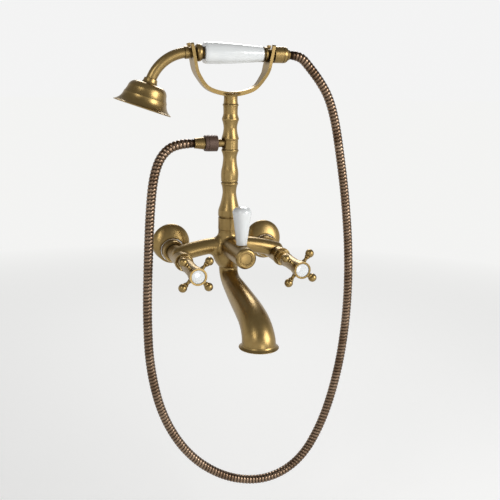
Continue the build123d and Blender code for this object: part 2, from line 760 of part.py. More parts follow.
def build_spout():
    """Curved spout that widens to a rolled lip, on a grooved stub with two O-rings."""
    axis = Pos(0, -riser_out, 0)
    top = seam_z - face_gap
    outer, inner = [], []
    for (s, z, r), fall in zip(spout_section_shares, spout_falls):
        centre = Vector(0, -riser_out - spout_reach * s, top - spout_drop * z)
        down = math.radians(fall)
        plane = Plane(origin=centre, x_dir=(1, 0, 0), z_dir=(0, -math.cos(down), -math.sin(down)))
        outer.append((plane, spout_mouth_r * r))
        inner.append((plane, spout_mouth_r * r - spout_wall))
    mouth = outer[-1][0].origin
    bottom = mouth.Z - spout_lip_height
    spread = spout_lip_r - spout_mouth_r
    inside = spout_mouth_r - spout_wall
    outline = [(inside, mouth.Z)]
    for r, z in lip_profile_shares:
        outline.append((spout_mouth_r + spread * r, mouth.Z - (mouth.Z - bottom) * z))
    outline += [(inside + spread * 0.4, bottom)]
    lip = Pos(0, mouth.Y, 0) * turned(outline, soft=edge_soft / 2)
    stub_top = seam_z + stub_height
    stub = rod(stub_r, top - spout_wall, stub_top)
    grooves = []
    for share in (0.6, 0.82):
        low = seam_z + stub_height * share
        grooves.append((low, low + o_ring_width))
    for low, high in grooves:
        stub -= ring(stub_r + overrun, stub_r - ring_groove_depth, low, high)
    lock_low = seam_z + lock_screw_rise - lock_screw_r - face_gap
    lock_high = seam_z + lock_screw_rise + lock_screw_r + face_gap
    stub -= ring(stub_r + overrun, lock_groove_r, lock_low, lock_high)
    closed_top = axis * rod(spout_mouth_r, top - spout_wall, top + overrun)
    spout = tube_loft(outer) + axis * stub
    spout -= tube_loft(inner) - closed_top
    spout -= axis * rod(body_bore_r, top - spout_wall, stub_top + overrun)
    nodes["spout"] = spout + lip
    rings = []
    for low, high in grooves:
        rings.append(axis * ring(stub_r, stub_r - ring_groove_depth, low + fit_gap / 2, high - fit_gap / 2))
    nodes["spout_o_rings"] = Compound(children=rings)

    head_start = lock_pad_out + fit_gap
    screw = rod(lock_screw_r - fit_gap / 2, lock_groove_r + face_gap, head_start)
    screw += turned([
        (0, head_start),
        (lock_screw_head_r, head_start),
        (lock_screw_head_r, head_start + lock_screw_head),
        (0, head_start + lock_screw_head),
    ], soft=edge_soft)
    slot = Box(lock_screw_head_r * 3, lock_screw_r / 3, lock_screw_head)
    screw -= Pos(0, 0, head_start + lock_screw_head * 1.2) * slot
    nodes["spout_lock_screw"] = lock_screw_frame() * screw


def build_riser():
    """Collar nut, turned column with its side outlet, washer and hose nipple."""
    axis = Pos(0, -riser_out, 0)
    inner_r = spigot_r + fit_gap
    nodes["riser_collar"] = axis * turned([
        (inner_r, collar_z),
        (collar_r, collar_z),
        (collar_r, riser_z),
        (inner_r, riser_z),
    ])
    washer_low = body_top + spigot_height
    washer_high = washer_low + riser_washer_thickness
    nodes["riser_washer"] = axis * ring(spigot_r, body_bore_r, washer_low, washer_high)
    outline = [(0, washer_high), (spigot_r, washer_high), (spigot_r, riser_z)]
    for r, z, b in riser_profile_shares:
        outline.append((riser_max_r * r, riser_z + riser_height * z, riser_max_r * b))
    outline += [(0, cradle_z)]
    riser = turned(outline, soft=edge_soft / 4)
    waterway_top = outlet_z + outlet_neck_r
    riser -= rod(riser_bore_r, washer_high - overrun, waterway_top)
    riser -= rod(cradle_stud_r, cradle_z - cradle_stud_length / 2, cradle_z + overrun)
    socket = Pos(0, 0, outlet_z) * Plane(origin=(0, 0, 0), z_dir=(-1, 0, 0)).location
    nodes["riser_column"] = axis * (riser - socket * rod(outlet_neck_r, 0, riser_max_r + overrun))

    out = sideways(outlet_z, -1)
    face = outlet_nipple_end - outlet_thread_length
    nipple = rod(outlet_neck_r, riser_bore_r + fit_gap, face) + turned([
        (0, face - edge_soft * 2),
        (outlet_thread_r * 0.8, face - edge_soft * 2),
        (outlet_thread_r, face),
        (outlet_thread_r, outlet_nipple_end),
        (0, outlet_nipple_end),
    ])
    nipple -= rod(outlet_neck_r - outlet_neck_wall, 0, outlet_nipple_end + overrun)
    nodes["hose_outlet_nipple"] = out * nipple


def build_cradle():
    """A bent band with a slotted fork plate at each end, on a round foot."""
    half = band_thickness / 2
    bottom = cradle_z + cradle_foot_height
    tip = handset_z + fork_tip_rise
    rise = tip - bottom
    straight_from = handset_z - fork_tip_rise * 1.2
    inner = [Vector(0, 0, bottom)]
    for x, z in band_outline_shares:
        inner.append(Vector(plate_inner * x, 0, bottom + rise * z))
    inner.append(Vector(plate_inner + (straight_from - handset_z) * fork_slope, 0, straight_from))
    plate_top = Vector(plate_inner + (tip - handset_z) * fork_slope, 0, tip)
    curve = Spline(inner, tangents=[(1, 0, 0), (fork_slope, 0, 1)])
    band = extrude(make_face(band_outline(curve, plate_top)), fork_width, both=True)
    band += mirror(band, Plane.YZ)
    narrow = band_width / 2
    wide = fork_width / 2
    widen_low = bottom + rise * 0.12
    widen_high = bottom + rise * 0.52
    side_outline = [
        (-narrow, bottom - band_thickness * 2),
        (narrow, bottom - band_thickness * 2),
        (narrow, widen_low),
        (wide, widen_high),
        (wide, tip),
        (-wide, tip),
        (-wide, widen_high),
        (-narrow, widen_low),
    ]
    face = Plane.YZ * make_face(Polyline([(y, z) for y, z in side_outline], close=True))
    face = fillet(face.vertices(), narrow / 2)
    outline = extrude(face, inlet_spacing, both=True)
    slot = Rot(0, 90, 0) * Cylinder(fork_slot_r, inlet_spacing * 2)
    slot = Pos(0, 0, handset_z) * slot
    throat = Box(inlet_spacing * 2, fork_slot_r * 2, fork_tip_rise * 4)
    cradle = band & outline
    cradle -= slot + Pos(0, 0, handset_z + fork_tip_rise * 2) * throat
    cradle += turned([
        (0, cradle_z + fit_gap),
        (cradle_foot_r, cradle_z + fit_gap),
        (cradle_foot_r, cradle_z + edge_soft * 2),
        (cradle_foot_r * 0.9, cradle_z + edge_soft * 4),
        (cradle_foot_r * 0.86, bottom - cradle_foot_height / 3, -cradle_foot_r * 0.02),
        (cradle_foot_r * 1.25, bottom - half, -cradle_foot_r * 0.1),
        (0, bottom - half),
    ]) & Box(inlet_spacing, fork_width, inlet_spacing * 4)
    cradle -= rod(cradle_stud_r, cradle_z - overrun, cradle_z + cradle_stud_length / 2)
    axis = Pos(0, -riser_out, 0)
    nodes["cradle"] = axis * cradle
    stud = rod(cradle_stud_r - fit_gap / 2, cradle_z - cradle_stud_length / 2 + fit_gap,
               cradle_z + cradle_stud_length / 2 - fit_gap)
    nodes["cradle_stud"] = axis * stud


def band_outline(curve, plate_top):
    """The closed outline of a strip on the outer side of a curve and its straight end, thickest low down."""
    outer = []
    steps = 12
    for i in range(steps + 1):
        along = curve % (i / steps)
        thickness = band_thickness * (band_swell + (1 - band_swell) * i / steps)
        side = Vector(along.Z, 0, -along.X) * thickness
        outer.append((curve @ (i / steps)) + side)
    far = Spline(outer, tangents=[curve % 0, curve % 1])
    far_top = plate_top + side
    sides = [curve, Line(curve @ 1, plate_top), Line(plate_top, far_top), Line(far_top, outer[-1])]
    return Curve() + sides + [far, Line(outer[0], curve @ 0)]


def build_handset():
    """Ceramic grip on a core tube, with the curved arm and bell at one end and the tail at the other."""
    along = sideways(handset_z)
    nodes["handset_core"] = along * ring(core_r, core_bore_r, grip_start, grip_end)

    outline = [(grip_bore_r, grip_start)]
    for r, z, b in grip_profile_shares:
        outline.append((grip_big_r * r, grip_start + grip_length * z, grip_big_r * b))
    outline.append((grip_bore_r, grip_end))
    nodes["handset_grip"] = along * turned(outline, soft=edge_soft)

    ferrule_outline = [(handset_neck_r + fit_gap, ferrule_start)]
    for r, z, b in ferrule_profile_shares:
        ferrule_outline.append((ferrule_r * r, ferrule_start + ferrule_length * z, ferrule_r * b))
    ferrule_outline.append((handset_neck_r + fit_gap, grip_start))
    nodes["front_ferrule"] = along * turned(ferrule_outline, soft=edge_soft / 2)

    cup = tail_start - tail_collar_length
    tail = turned([
        (core_bore_r, grip_end),
        (grip_small_r, grip_end),
        (grip_small_r, grip_end + edge_soft),
        (handset_neck_r * 1.1, cup + tail_collar_length / 3),
        (handset_neck_r * 1.1, cup + tail_collar_length / 2),
        (tail_ring_r, cup + tail_collar_length * 0.62),
        (tail_ring_r, tail_start),
        (handset_neck_r, tail_start),
        (handset_neck_r, tail_thread_start),
        (outlet_thread_r, tail_thread_start),
        (outlet_thread_r, tail_thread_end),
        (core_bore_r, tail_thread_end),
    ], soft=edge_soft / 2)
    nodes["handset_tail"] = along * tail

    bend_start = -plate_outer
    lean = math.radians(arm_tilt)
    turn = math.pi / 2 - lean
    centre = Vector(bend_start, -riser_out, handset_z - arm_bend_r)
    mid_turn = turn / 2
    start = Vector(bend_start, -riser_out, handset_z)
    middle = centre + Vector(-math.sin(mid_turn), 0, math.cos(mid_turn)) * arm_bend_r
    end = centre + Vector(-math.sin(turn), 0, math.cos(turn)) * arm_bend_r
    path = Curve() + [Line((grip_start, -riser_out, handset_z), start), ThreePointArc(start, middle, end)]
    mouth = Plane(origin=(grip_start, -riser_out, handset_z), z_dir=(-1, 0, 0))
    arm = sweep(mouth * Circle(handset_neck_r), path=path)
    arm -= sweep(mouth * Circle(arm_bore_r), path=path)
    nodes["handset_arm"] = arm

    collar = ring(arm_collar_r, handset_neck_r + fit_gap, -arm_collar_length / 2, arm_collar_length / 2)
    collar_turn = math.asin((arm_collar_start - plate_outer + arm_collar_length / 2) / arm_bend_r)
    collar_middle = centre + Vector(-math.sin(collar_turn), 0, math.cos(collar_turn)) * arm_bend_r
    collar_way = Vector(-math.cos(collar_turn), 0, -math.sin(collar_turn))
    nodes["arm_collar"] = Plane(origin=collar_middle, x_dir=(0, 1, 0), z_dir=collar_way).location * collar
    build_rose(end, lean)


def build_rose(end, lean):
    """Bell-shaped rose with its perforated plate, on the arm's lower end."""
    heading = Vector(-math.sin(lean), 0, -math.cos(lean))
    frame = Plane(origin=end, x_dir=(0, 1, 0), z_dir=heading).location
    bore_r = handset_neck_r + fit_gap + arm_collar_length ** 2 / arm_bend_r / 2
    outline = [(bore_r, -arm_collar_length), (bell_neck_r * 0.9, -arm_collar_length)]
    outline += [(bell_neck_r, 0)]
    for r, z, b in bell_outer_shares + bell_inner_shares:
        outline.append((bell_r * r, bell_height * z, bell_r * b))
    outline += [(arm_bore_r, bell_height * 0.12), (arm_bore_r, fit_gap), (bore_r, fit_gap)]
    nodes["rose_bell"] = frame * turned(outline, soft=edge_soft / 2)

    low, high = bell_inner_shares[2], bell_inner_shares[1]
    share = (plate_depth / bell_height - low[1]) / (high[1] - low[1])
    plate_r = bell_r * (low[0] + (high[0] - low[0]) * share) - fit_gap
    plate = rod(plate_r, plate_depth, plate_depth + plate_thickness)
    for spread, count in zip(plate_ring_shares, plate_ring_counts):
        for i in range(count):
            spot = Rot(0, 0, 360 * i / count) * Pos(plate_r * spread, 0, 0)
            plate -= spot * rod(plate_hole_r, plate_depth - overrun, plate_depth + plate_thickness + overrun)
    nodes["spray_plate"] = frame * plate


def hose_end(frame, thread_end, hose_start, shoulder_r, name):
    """Nut, washer and sleeve of one end of the hose, along a frame whose Z runs towards the hose."""
    washer_end = thread_end + hose_washer_thickness
    flange_end = washer_end + sleeve_flange
    inner_r = outlet_thread_r + fit_gap
    nut_end = flange_end + hose_nut_lip
    nut_begin = nut_end - hose_nut_length
    groove = hose_nut_length * 0.28
    nodes["hose_nut_" + name] = frame * turned([
        (inner_r, nut_begin),
        (hose_nut_r, nut_begin),
        (hose_nut_r, nut_end - groove),
        (hose_nut_r * 0.95, nut_end - groove),
        (hose_nut_r * 0.95, nut_end - groove * 0.8),
        (hose_nut_r, nut_end - groove * 0.8),
        (hose_nut_r * 0.96, nut_end),
        (sleeve_r + fit_gap, nut_end),
        (sleeve_r + fit_gap, flange_end),
        (inner_r, flange_end),
    ], soft=edge_soft / 2)
    nodes["hose_washer_" + name] = frame * ring(outlet_thread_r, hose_bore_r, thread_end, washer_end)
    nodes["hose_sleeve_" + name] = frame * turned([
        (hose_bore_r, washer_end),
        (outlet_thread_r, washer_end),
        (outlet_thread_r, flange_end),
        (sleeve_r, flange_end),
        (sleeve_r, nut_end + edge_soft),
        (shoulder_r, nut_end + edge_soft),
        (shoulder_r, nut_end + edge_soft * 2),
        (hose_r * 1.06, hose_start - hose_r / 4),
        (hose_r * 1.06, hose_start),
        (hose_bore_r, hose_start),
    ], soft=edge_soft / 2)


def build_hose():
    """The ribbed hose along its route, with its bore; its ends run straight."""
    start = Vector(-outlet_sleeve_end, -riser_out, outlet_z)
    end = Vector(handset_sleeve_end, -riser_out, handset_z)
    middle = [Vector(x, -riser_out, z) for x, z in hose_route]
    middle[0] = Vector(hose_route[0][0], -riser_out, outlet_z)
    middle[-1] = Vector(hose_route[-1][0], -riser_out, handset_z)
    points = [start] + middle + [end]
    radii = []
    for before, here, after in zip(points, points[1:], points[2:]):
        turn = (here - before).get_angle(after - here)
        run = min((here - before).length, (after - here).length)
        radii.append(route_round_share * run / math.tan(math.radians(turn) / 2))
    print("hose radii", [round(r, 1) for r in radii])
    path = FilletPolyline(points, radius=radii)
    length = path.length
    print("hose length", round(length, 1), "against", hose_length)
    stations = [(0.0, hose_valley_r)]
    first = 2 * hose_r
    pitch = (length - 2 * first) / hose_rib_count
    for i in range(hose_rib_count):
        for step, height in rib_profile_shares:
            stations.append((first + pitch * (i + step), hose_valley_r + (hose_r - hose_valley_r) * height))
    stations.append((length, hose_valley_r))
    sections = []
    for place, radius in stations:
        plane = Plane(origin=path @ (place / length), x_dir=(0, 1, 0), z_dir=path % (place / length))
        sections.append((plane, radius))
    outer = tube_loft(sections, ruled=True)
    mouth = Plane(origin=start, x_dir=(0, 1, 0), z_dir=path % 0)
    bore = sweep(mouth * Circle(hose_bore_r), path=path)
    nodes["ribbed_hose"] = outer - bore
    print("bore volume share", round(bore.volume / (math.pi * hose_bore_r ** 2 * length), 4))


washers = []
seals = []
for side, side_name, angle in ((-1, "left", left_cross_angle), (1, "right", right_cross_angle)):
    washers.append(build_union(side, side_name))
    seals.append(build_valve(side, side_name, angle))
nodes["union_washers"] = Compound(children=washers)
nodes["valve_seat_seals"] = Compound(children=seals)
build_body()
build_diverter()
build_spout()
build_riser()
build_cradle()
build_handset()
hose_end(sideways(outlet_z, -1), outlet_nipple_end, outlet_sleeve_end, outlet_shoulder_r, "outlet")
hose_end(sideways(handset_z), tail_thread_end, handset_sleeve_end, handset_shoulder_r, "handset")
build_hose()

os.makedirs("parts", exist_ok=True)
for node_name, shape in nodes.items():
    export_step(shape, "parts/" + node_name + ".step")
print(len(nodes), "nodes")
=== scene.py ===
"""Dresses the wall-mounted bath and shower mixer: ribbed hose, metals, glazes, rubber, and the stage."""

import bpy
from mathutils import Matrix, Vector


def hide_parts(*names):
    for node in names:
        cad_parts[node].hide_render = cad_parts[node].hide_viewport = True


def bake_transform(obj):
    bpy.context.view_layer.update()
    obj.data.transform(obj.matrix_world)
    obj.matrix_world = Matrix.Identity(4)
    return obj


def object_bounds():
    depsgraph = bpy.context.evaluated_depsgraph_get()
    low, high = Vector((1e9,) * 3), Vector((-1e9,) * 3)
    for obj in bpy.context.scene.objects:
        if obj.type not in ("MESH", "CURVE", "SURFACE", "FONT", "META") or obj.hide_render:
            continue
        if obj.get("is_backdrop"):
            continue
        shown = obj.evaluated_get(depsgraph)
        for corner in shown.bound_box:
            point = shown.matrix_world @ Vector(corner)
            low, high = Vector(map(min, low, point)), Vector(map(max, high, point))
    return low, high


bl_info = {
    "name": "Bath Shower Mixer",
    "version": (1, 0, 0),
    "blender": (4, 5, 0),
    "location": "View3D > Sidebar > Mixer",
    "description": "Builds the looks of a wall-mounted bath and shower mixer over its CAD frame",
    "category": "Object",
}

import math

import bpy
import numpy as np
from bpy.props import FloatProperty, FloatVectorProperty, IntProperty, PointerProperty
from mathutils import Matrix, Vector

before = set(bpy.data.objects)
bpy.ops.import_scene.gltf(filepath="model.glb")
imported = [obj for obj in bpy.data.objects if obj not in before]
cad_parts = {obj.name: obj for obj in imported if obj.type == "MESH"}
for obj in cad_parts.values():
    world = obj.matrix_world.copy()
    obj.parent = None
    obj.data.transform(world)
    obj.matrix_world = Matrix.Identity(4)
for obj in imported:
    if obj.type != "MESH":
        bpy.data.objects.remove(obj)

MM = 0.001

# The photograph's view: where the lens stands and its three directions, found from the mixer's own sizes
LENS_PLACE = Vector((-319.97, -1138.27, 263.31)) * MM
LENS_RIGHT = Vector((0.95117102, -0.30797324, 0.02064408))
LENS_UP = Vector((0.05149904, 0.22428707, 0.97316142))
LENS_FORWARD = Vector((0.30433787, 0.92457979, -0.22919569))
FRAME_PIXELS = 500
FOCAL_PIXELS = 766.17
SENSOR_WIDTH = 36.0

PALE = (0.90, 0.90, 0.89)  # the room behind the mixer, and the floor
OVERHEAD = 0.3  # how light the room is overhead
ROOM_LIGHT = 0.36  # the share of the room's glow that lights matt surfaces

# Each lamp's place, its width, both in metres, and its power as a multiple of the named lamp power
LAMPS = {
    "key_lamp": ((1.45, -1.6, 0.75), 1.3, 3.4),
    "side_lamp": ((-1.5, -1.4, 1.2), 0.8, 0.8),
    "back_lamp": ((0.5, 1.5, 1.1), 0.9, 1.6),
    "low_lamp": ((0.2, -1.7, -0.25), 0.5, 0.25),
}
LAMP_TARGET = Vector((0.0, -0.06, 0.05))

# The hose's route in the plane of the riser, sideways and height, the same points as the CAD route
RISER_OUT = 0.063
OUTLET_Z = 0.1586
HANDSET_Z = 0.2849
HOSE_ROUTE = [
    (-0.0536, OUTLET_Z),
    (-0.0795, OUTLET_Z),
    (-0.1015, 0.1430),
    (-0.1130, 0.1130),
    (-0.1185, 0.0630),
    (-0.1220, -0.0120),
    (-0.1245, -0.0970),
    (-0.1210, -0.1810),
    (-0.1010, -0.2650),
    (-0.0580, -0.3360),
    (0.0040, -0.3820),
    (0.0720, -0.3950),
    (0.1290, -0.3680),
    (0.1660, -0.3050),
    (0.1900, -0.2190),
    (0.2010, -0.1250),
    (0.2000, -0.0270),
    (0.1890, 0.0690),
    (0.1730, 0.1540),
    (0.1640, 0.1940),
    (0.1530, 0.2250),
    (0.1380, 0.2480),
    (0.1210, 0.2675),
    (0.1040, HANDSET_Z),
    (0.0870, HANDSET_Z),
]

ROUTE_RESOLUTION = 24  # points between two of the route's

# Which pieces take which finish, and the way that their brushing runs
BRUSHED_ROUND_Z = ["riser_column", "riser_collar", "mixer_body", "cradle", "cradle_stud"]
BRUSHED_ROUND_Y = [
    "wall_flange_left", "wall_flange_right", "union_nut_left", "union_nut_right", "cross_handle_left",
    "cross_handle_right", "diverter_drum", "diverter_cap", "diverter_cartridge",
]
BRUSHED_ROUND_X = [
    "front_ferrule", "handset_tail", "hose_nut_handset", "hose_sleeve_handset", "hose_sleeve_outlet",
    "hose_outlet_nipple", "arm_collar",
]
BRUSHED_LENGTHWISE = ["spout", "handset_arm", "rose_bell"]
MACHINED = [
    "eccentric_union_left", "eccentric_union_right", "inlet_tailpiece_left", "inlet_tailpiece_right",
    "headwork_left", "headwork_right", "spindle_left", "spindle_right", "diverter_spindle", "handset_core",
]
STEEL = ["spout_lock_screw", "handle_screw_left", "handle_screw_right", "diverter_screw", "lever_stud"]
GLAZED = ["diverter_lever", "handset_grip", "index_disc_left", "index_disc_right"]
LAPPED = [
    "fixed_disc_left", "fixed_disc_right", "moving_disc_left", "moving_disc_right", "diverter_fixed_disc",
    "diverter_moving_disc",
]
RUBBER = [
    "union_washers", "valve_seat_seals", "riser_washer", "spout_o_rings", "hose_washer_outlet",
    "hose_washer_handset",
]


class MixerFinish(bpy.types.PropertyGroup):
    """Colours and brushing of the mixer's own surfaces."""

    brass: FloatVectorProperty(
        name="Brass", description="Rubbed brass on the high places", subtype="COLOR", min=0, max=1,
        default=(0.33, 0.235, 0.095))
    # Patina colour, also used as painted shade: the brass darkens to it in corners and recesses
    patina_and_shade: FloatVectorProperty(
        name="Patina", description="Darkened brass in the recesses", subtype="COLOR", min=0, max=1,
        default=(0.06, 0.034, 0.010))
    glaze: FloatVectorProperty(
        name="Glaze", description="White glaze of the lever, grip and index discs", subtype="COLOR", min=0,
        max=1, default=(0.70, 0.71, 0.70))
    hose: FloatVectorProperty(
        name="Hose", description="Aged strip metal on the hose's ribs", subtype="COLOR", min=0, max=1,
        default=(0.10, 0.056, 0.030))
    brushing: FloatProperty(
        name="Brushing", description="Strength of the brushed lines in the brass", min=0, max=1, default=0.06)


class MixerHose(bpy.types.PropertyGroup):
    """Sizes of the ribbed hose."""

    radius: FloatProperty(
        name="Radius", description="Outside radius over the ribs", subtype="DISTANCE", unit="LENGTH",
        default=0.007)
    groove: FloatProperty(
        name="Groove", description="Depth of the groove between two ribs", subtype="DISTANCE", unit="LENGTH",
        default=0.0011)
    pitch: FloatProperty(
        name="Pitch", description="Length of one rib along the hose", subtype="DISTANCE", unit="LENGTH",
        default=0.0054)
    length: FloatProperty(
        name="Length", description="Length from sleeve to sleeve", subtype="DISTANCE", unit="LENGTH",
        default=1.45)
    around: IntProperty(name="Around", description="Faces round the hose", min=8, default=18)
    along: IntProperty(name="Along", description="Faces along one rib", min=4, default=6)


class MixerStage(bpy.types.PropertyGroup):
    """Floor and lamps."""

    floor_drop: FloatProperty(
        name="Floor drop", description="How far the floor lies below the hose", subtype="DISTANCE",
        unit="LENGTH", default=0.16)
    floor_size: FloatProperty(
        name="Floor size", description="Side of the square floor", subtype="DISTANCE", unit="LENGTH",
        default=40.0)
    lamp_power: FloatProperty(
        name="Lamp power", description="Power of the main lamp", subtype="POWER", unit="POWER", default=10.0)


class Field:
    """A node's output socket. Arithmetic on it adds the Math nodes that the expression needs."""

    def __init__(self, shader, socket):
        self.shader = shader
        self.socket = socket

    def math(self, operation, first, second):
        return self.shader.add("ShaderNodeMath", {"operation": operation}, {0: first, 1: second})

    def __add__(self, other):
        return self.math("ADD", self, other)

    __radd__ = __add__

    def __sub__(self, other):
        return self.math("SUBTRACT", self, other)

    def __rsub__(self, other):
        return self.math("SUBTRACT", other, self)

    def __mul__(self, other):
        return self.math("MULTIPLY", self, other)

    __rmul__ = __mul__

    def __pow__(self, other):
        return self.math("POWER", self, other)

    def above(self, other):
        return self.math("GREATER_THAN", self, other)

    def larger(self, other):
        return self.math("MAXIMUM", self, other)

    def sibling(self, name):
        """Another output of the same node."""
        return Field(self.shader, self.socket.node.outputs[name])

    def clear(self):
        """The value kept between 0 and 1."""
        return self.shader.add("ShaderNodeClamp", {}, {"Value": self})


class Tree:
    """The node tree of a material or world: one method adds any node."""

    def __init__(self, owner):
        owner.use_nodes = True
        self.tree = owner.node_tree
        self.tree.nodes.clear()

    def add(self, kind, settings, sockets, output=0):
        """Adds a node, sets it, joins its sockets to fields or values, and gives one output as a field."""
        node = self.tree.nodes.new(kind)
        for name, value in settings.items():
            if name == "stops":
                self.set_stops(node.color_ramp, value)
            else:
                setattr(node, name, value)
        for name, value in sockets.items():
            self.join(node.inputs[name], value)
        return None if output is None else Field(self, node.outputs[output])

    def join(self, socket, value):
        if isinstance(value, Field):
            self.tree.links.new(value.socket, socket)
        elif isinstance(value, (tuple, list)) and socket.type == "RGBA":
            socket.default_value = (*value[:3], 1.0)
        else:
            socket.default_value = value

    @staticmethod
    def set_stops(ramp, stops):
        while len(ramp.elements) < len(stops):
            ramp.elements.new(0.5)
        for element, (place, level) in zip(ramp.elements, stops):
            element.position = place
            element.color = (level, level, level, 1.0)

    def ramp(self, value, stops):
        return self.add("ShaderNodeValToRGB", {"stops": stops}, {"Fac": value}, "Color")


class Shader(Tree):
    """A material with one principled surface, and the steps that its finishes share."""

    def __init__(self, name):
        self.material = bpy.data.materials.new(name)
        super().__init__(self.material)
        surface = self.add("ShaderNodeBsdfPrincipled", {}, {}, "BSDF")
        self.surface = surface.socket.node
        self.add("ShaderNodeOutputMaterial", {}, {"Surface": surface}, None)
        self.place = self.add("ShaderNodeTexCoord", {}, {}, "Object")

    def noise(self, scale, detail=3.0, roughness=0.5, stretch=(1, 1, 1)):
        """Noise of a given count per metre, drawn out by unequal stretch factors."""
        placed = self.add("ShaderNodeMapping", {}, {"Vector": self.place, "Scale": stretch})
        sockets = {"Vector": placed, "Scale": scale, "Detail": detail, "Roughness": roughness}
        return self.add("ShaderNodeTexNoise", {}, sockets, "Fac")

    def blend(self, share, first, second):
        """A colour between two colours, by a share of the second."""
        settings = {"data_type": "RGBA", "clamp_factor": True}
        return self.add("ShaderNodeMix", settings, {0: share, 6: first, 7: second}, 2)

    def recess(self, reach):
        """1 in open places and 0 deep in corners, within a reach in metres."""
        sockets = {"Distance": reach}
        return self.add("ShaderNodeAmbientOcclusion", {"samples": 8}, sockets, "AO")

    def bump(self, height, strength, depth):
        sockets = {"Height": height, "Strength": strength, "Distance": depth}
        return self.add("ShaderNodeBump", {}, sockets, "Normal")

    def finish(self, **sockets):
        for name, value in sockets.items():
            self.join(self.surface.inputs[name.replace("_", " ").title()], value)
        return self.material


def aged_brass(name, stretch, finish, tone=1.0):
    """Rubbed and darkened brass: brown in corners as patina and painted shade, cloudy over finger-wide areas,
    with fine brushed lines.
    """
    shader = Shader(name)
    lines = shader.noise(420, 4.0, 0.62, stretch)
    fine = shader.noise(1500, 2.0, 0.5, stretch)
    cloud = shader.noise(28, 3.0, 0.55)
    mottle = shader.noise(210, 4.0, 0.6)
    # Painted shade: ambient occlusion darkens the brass to the patina colour in corners, mixed with cloudy
    # and brushed wear
    unshaded_place = shader.recess(0.006) ** 2.2
    worn_and_unshaded = (unshaded_place * 1.15 - (1 - cloud) * 0.26 - (1 - lines) * 0.40 + 0.28).clear()
    brass = tuple(c * tone for c in finish.brass)
    warm = (brass[0] * 0.86, brass[1] * 0.80, brass[2] * 0.74)
    metal = shader.blend((mottle * 1.6 - 0.45).clear(), warm, brass)
    colour = shader.blend(worn_and_unshaded, tuple(finish.patina_and_shade), metal)
    roughness = 0.29 + (1 - worn_and_unshaded) * 0.18 + lines * 0.08
    relief = lines * 0.7 + fine * 0.3
    normal = shader.bump(relief, finish.brushing, 0.0004)
    return shader.finish(base_color=colour, metallic=1.0, roughness=roughness, normal=normal)


def dark_grip(name):
    """Matt brown lacquer over brass, as on the hose's outlet nut, with painted shade in its corners."""
    shader = Shader(name)
    speck = shader.noise(900, 4.0, 0.6)
    edge = shader.recess(0.004)
    # Painted shade: ambient occlusion darkens the lacquer in corners, mixed with speckled wear
    worn_and_unshaded = (speck * 0.8 + edge * 0.4 - 0.3).clear()
    colour = shader.blend(worn_and_unshaded, (0.045, 0.026, 0.019), (0.15, 0.094, 0.066))
    normal = shader.bump(speck, 0.25, 0.0003)
    return shader.finish(base_color=colour, metallic=0.55, roughness=0.42 + speck * 0.15, normal=normal)


def machined_brass(name):
    """Yellow turned brass of the inner pieces, with round tool marks and painted shade in corners."""
    shader = Shader(name)
    marks = shader.noise(700, 2.0, 0.5, (1, 6, 1))
    corner = shader.recess(0.006)
    # Painted shade: ambient occlusion darkens the brass in corners toward dark brown, tool marks darken it a
    # little too
    colour = shader.blend((corner * 1.1 - marks * 0.2).clear(), (0.16, 0.10, 0.04), (0.55, 0.40, 0.17))
    normal = shader.bump(marks, 0.12, 0.0003)
    return shader.finish(base_color=colour, metallic=1.0, roughness=0.26 + marks * 0.12, normal=normal)


def screw_steel(name):
    """Dull turned steel."""
    shader = Shader(name)
    marks = shader.noise(1200, 3.0, 0.6, (1, 1, 4))
    colour = shader.blend(marks, (0.20, 0.18, 0.16), (0.46, 0.44, 0.41))
    return shader.finish(base_color=colour, metallic=1.0, roughness=0.3 + marks * 0.15)


def white_glaze(name, finish):
    """Thick white glaze, slightly wavy, a little greyer in broad random patches."""
    shader = Shader(name)
    pool = shader.noise(60, 2.0, 0.5)
    speck = shader.noise(1400, 2.0, 0.5)
    glaze = tuple(finish.glaze)
    thin = (glaze[0] * 0.93, glaze[1] * 0.95, glaze[2] * 0.97)
    colour = shader.blend((pool * 1.4 - 0.2).clear(), thin, glaze)
    colour = shader.blend(speck.above(0.74) * 0.25, colour, (0.55, 0.52, 0.46))
    normal = shader.bump(pool, 0.05, 0.002)
    shader.surface.inputs["Coat Roughness"].default_value = 0.03
    shader.surface.inputs["IOR"].default_value = 1.54
    return shader.finish(base_color=colour, roughness=0.10 + speck * 0.05, coat_weight=0.6, normal=normal)


def lapped_ceramic(name):
    """Flat ground ceramic of the valve discs."""
    shader = Shader(name)
    speck = shader.noise(1600, 3.0, 0.5)
    colour = shader.blend(speck, (0.62, 0.60, 0.55), (0.80, 0.78, 0.73))
    return shader.finish(base_color=colour, roughness=0.28 + speck * 0.1)


def seal_rubber(name):
    """Black moulded rubber with a dusty bloom."""
    shader = Shader(name)
    bloom = shader.noise(500, 4.0, 0.6)
    colour = shader.blend((bloom * 1.5 - 0.5).clear(), (0.016, 0.016, 0.016), (0.05, 0.048, 0.045))
    return shader.finish(base_color=colour, roughness=0.62 + bloom * 0.2)


def spray_face(name, finish):
    """Dull brass of the spray plate, dark in and round its holes as painted shade, with darker specks."""
    shader = Shader(name)
    speck = shader.noise(800, 3.0, 0.6)
    corner = shader.recess(0.003)
    metal = tuple(c * 0.75 for c in finish.brass)
    # Painted shade: ambient occlusion darkens the plate in and round its holes, specks darken it further
    colour = shader.blend((corner * 1.2 - speck * 0.35).clear(), (0.05, 0.03, 0.012), metal)
    return shader.finish(base_color=colour, metallic=1.0, roughness=0.36 + speck * 0.12)


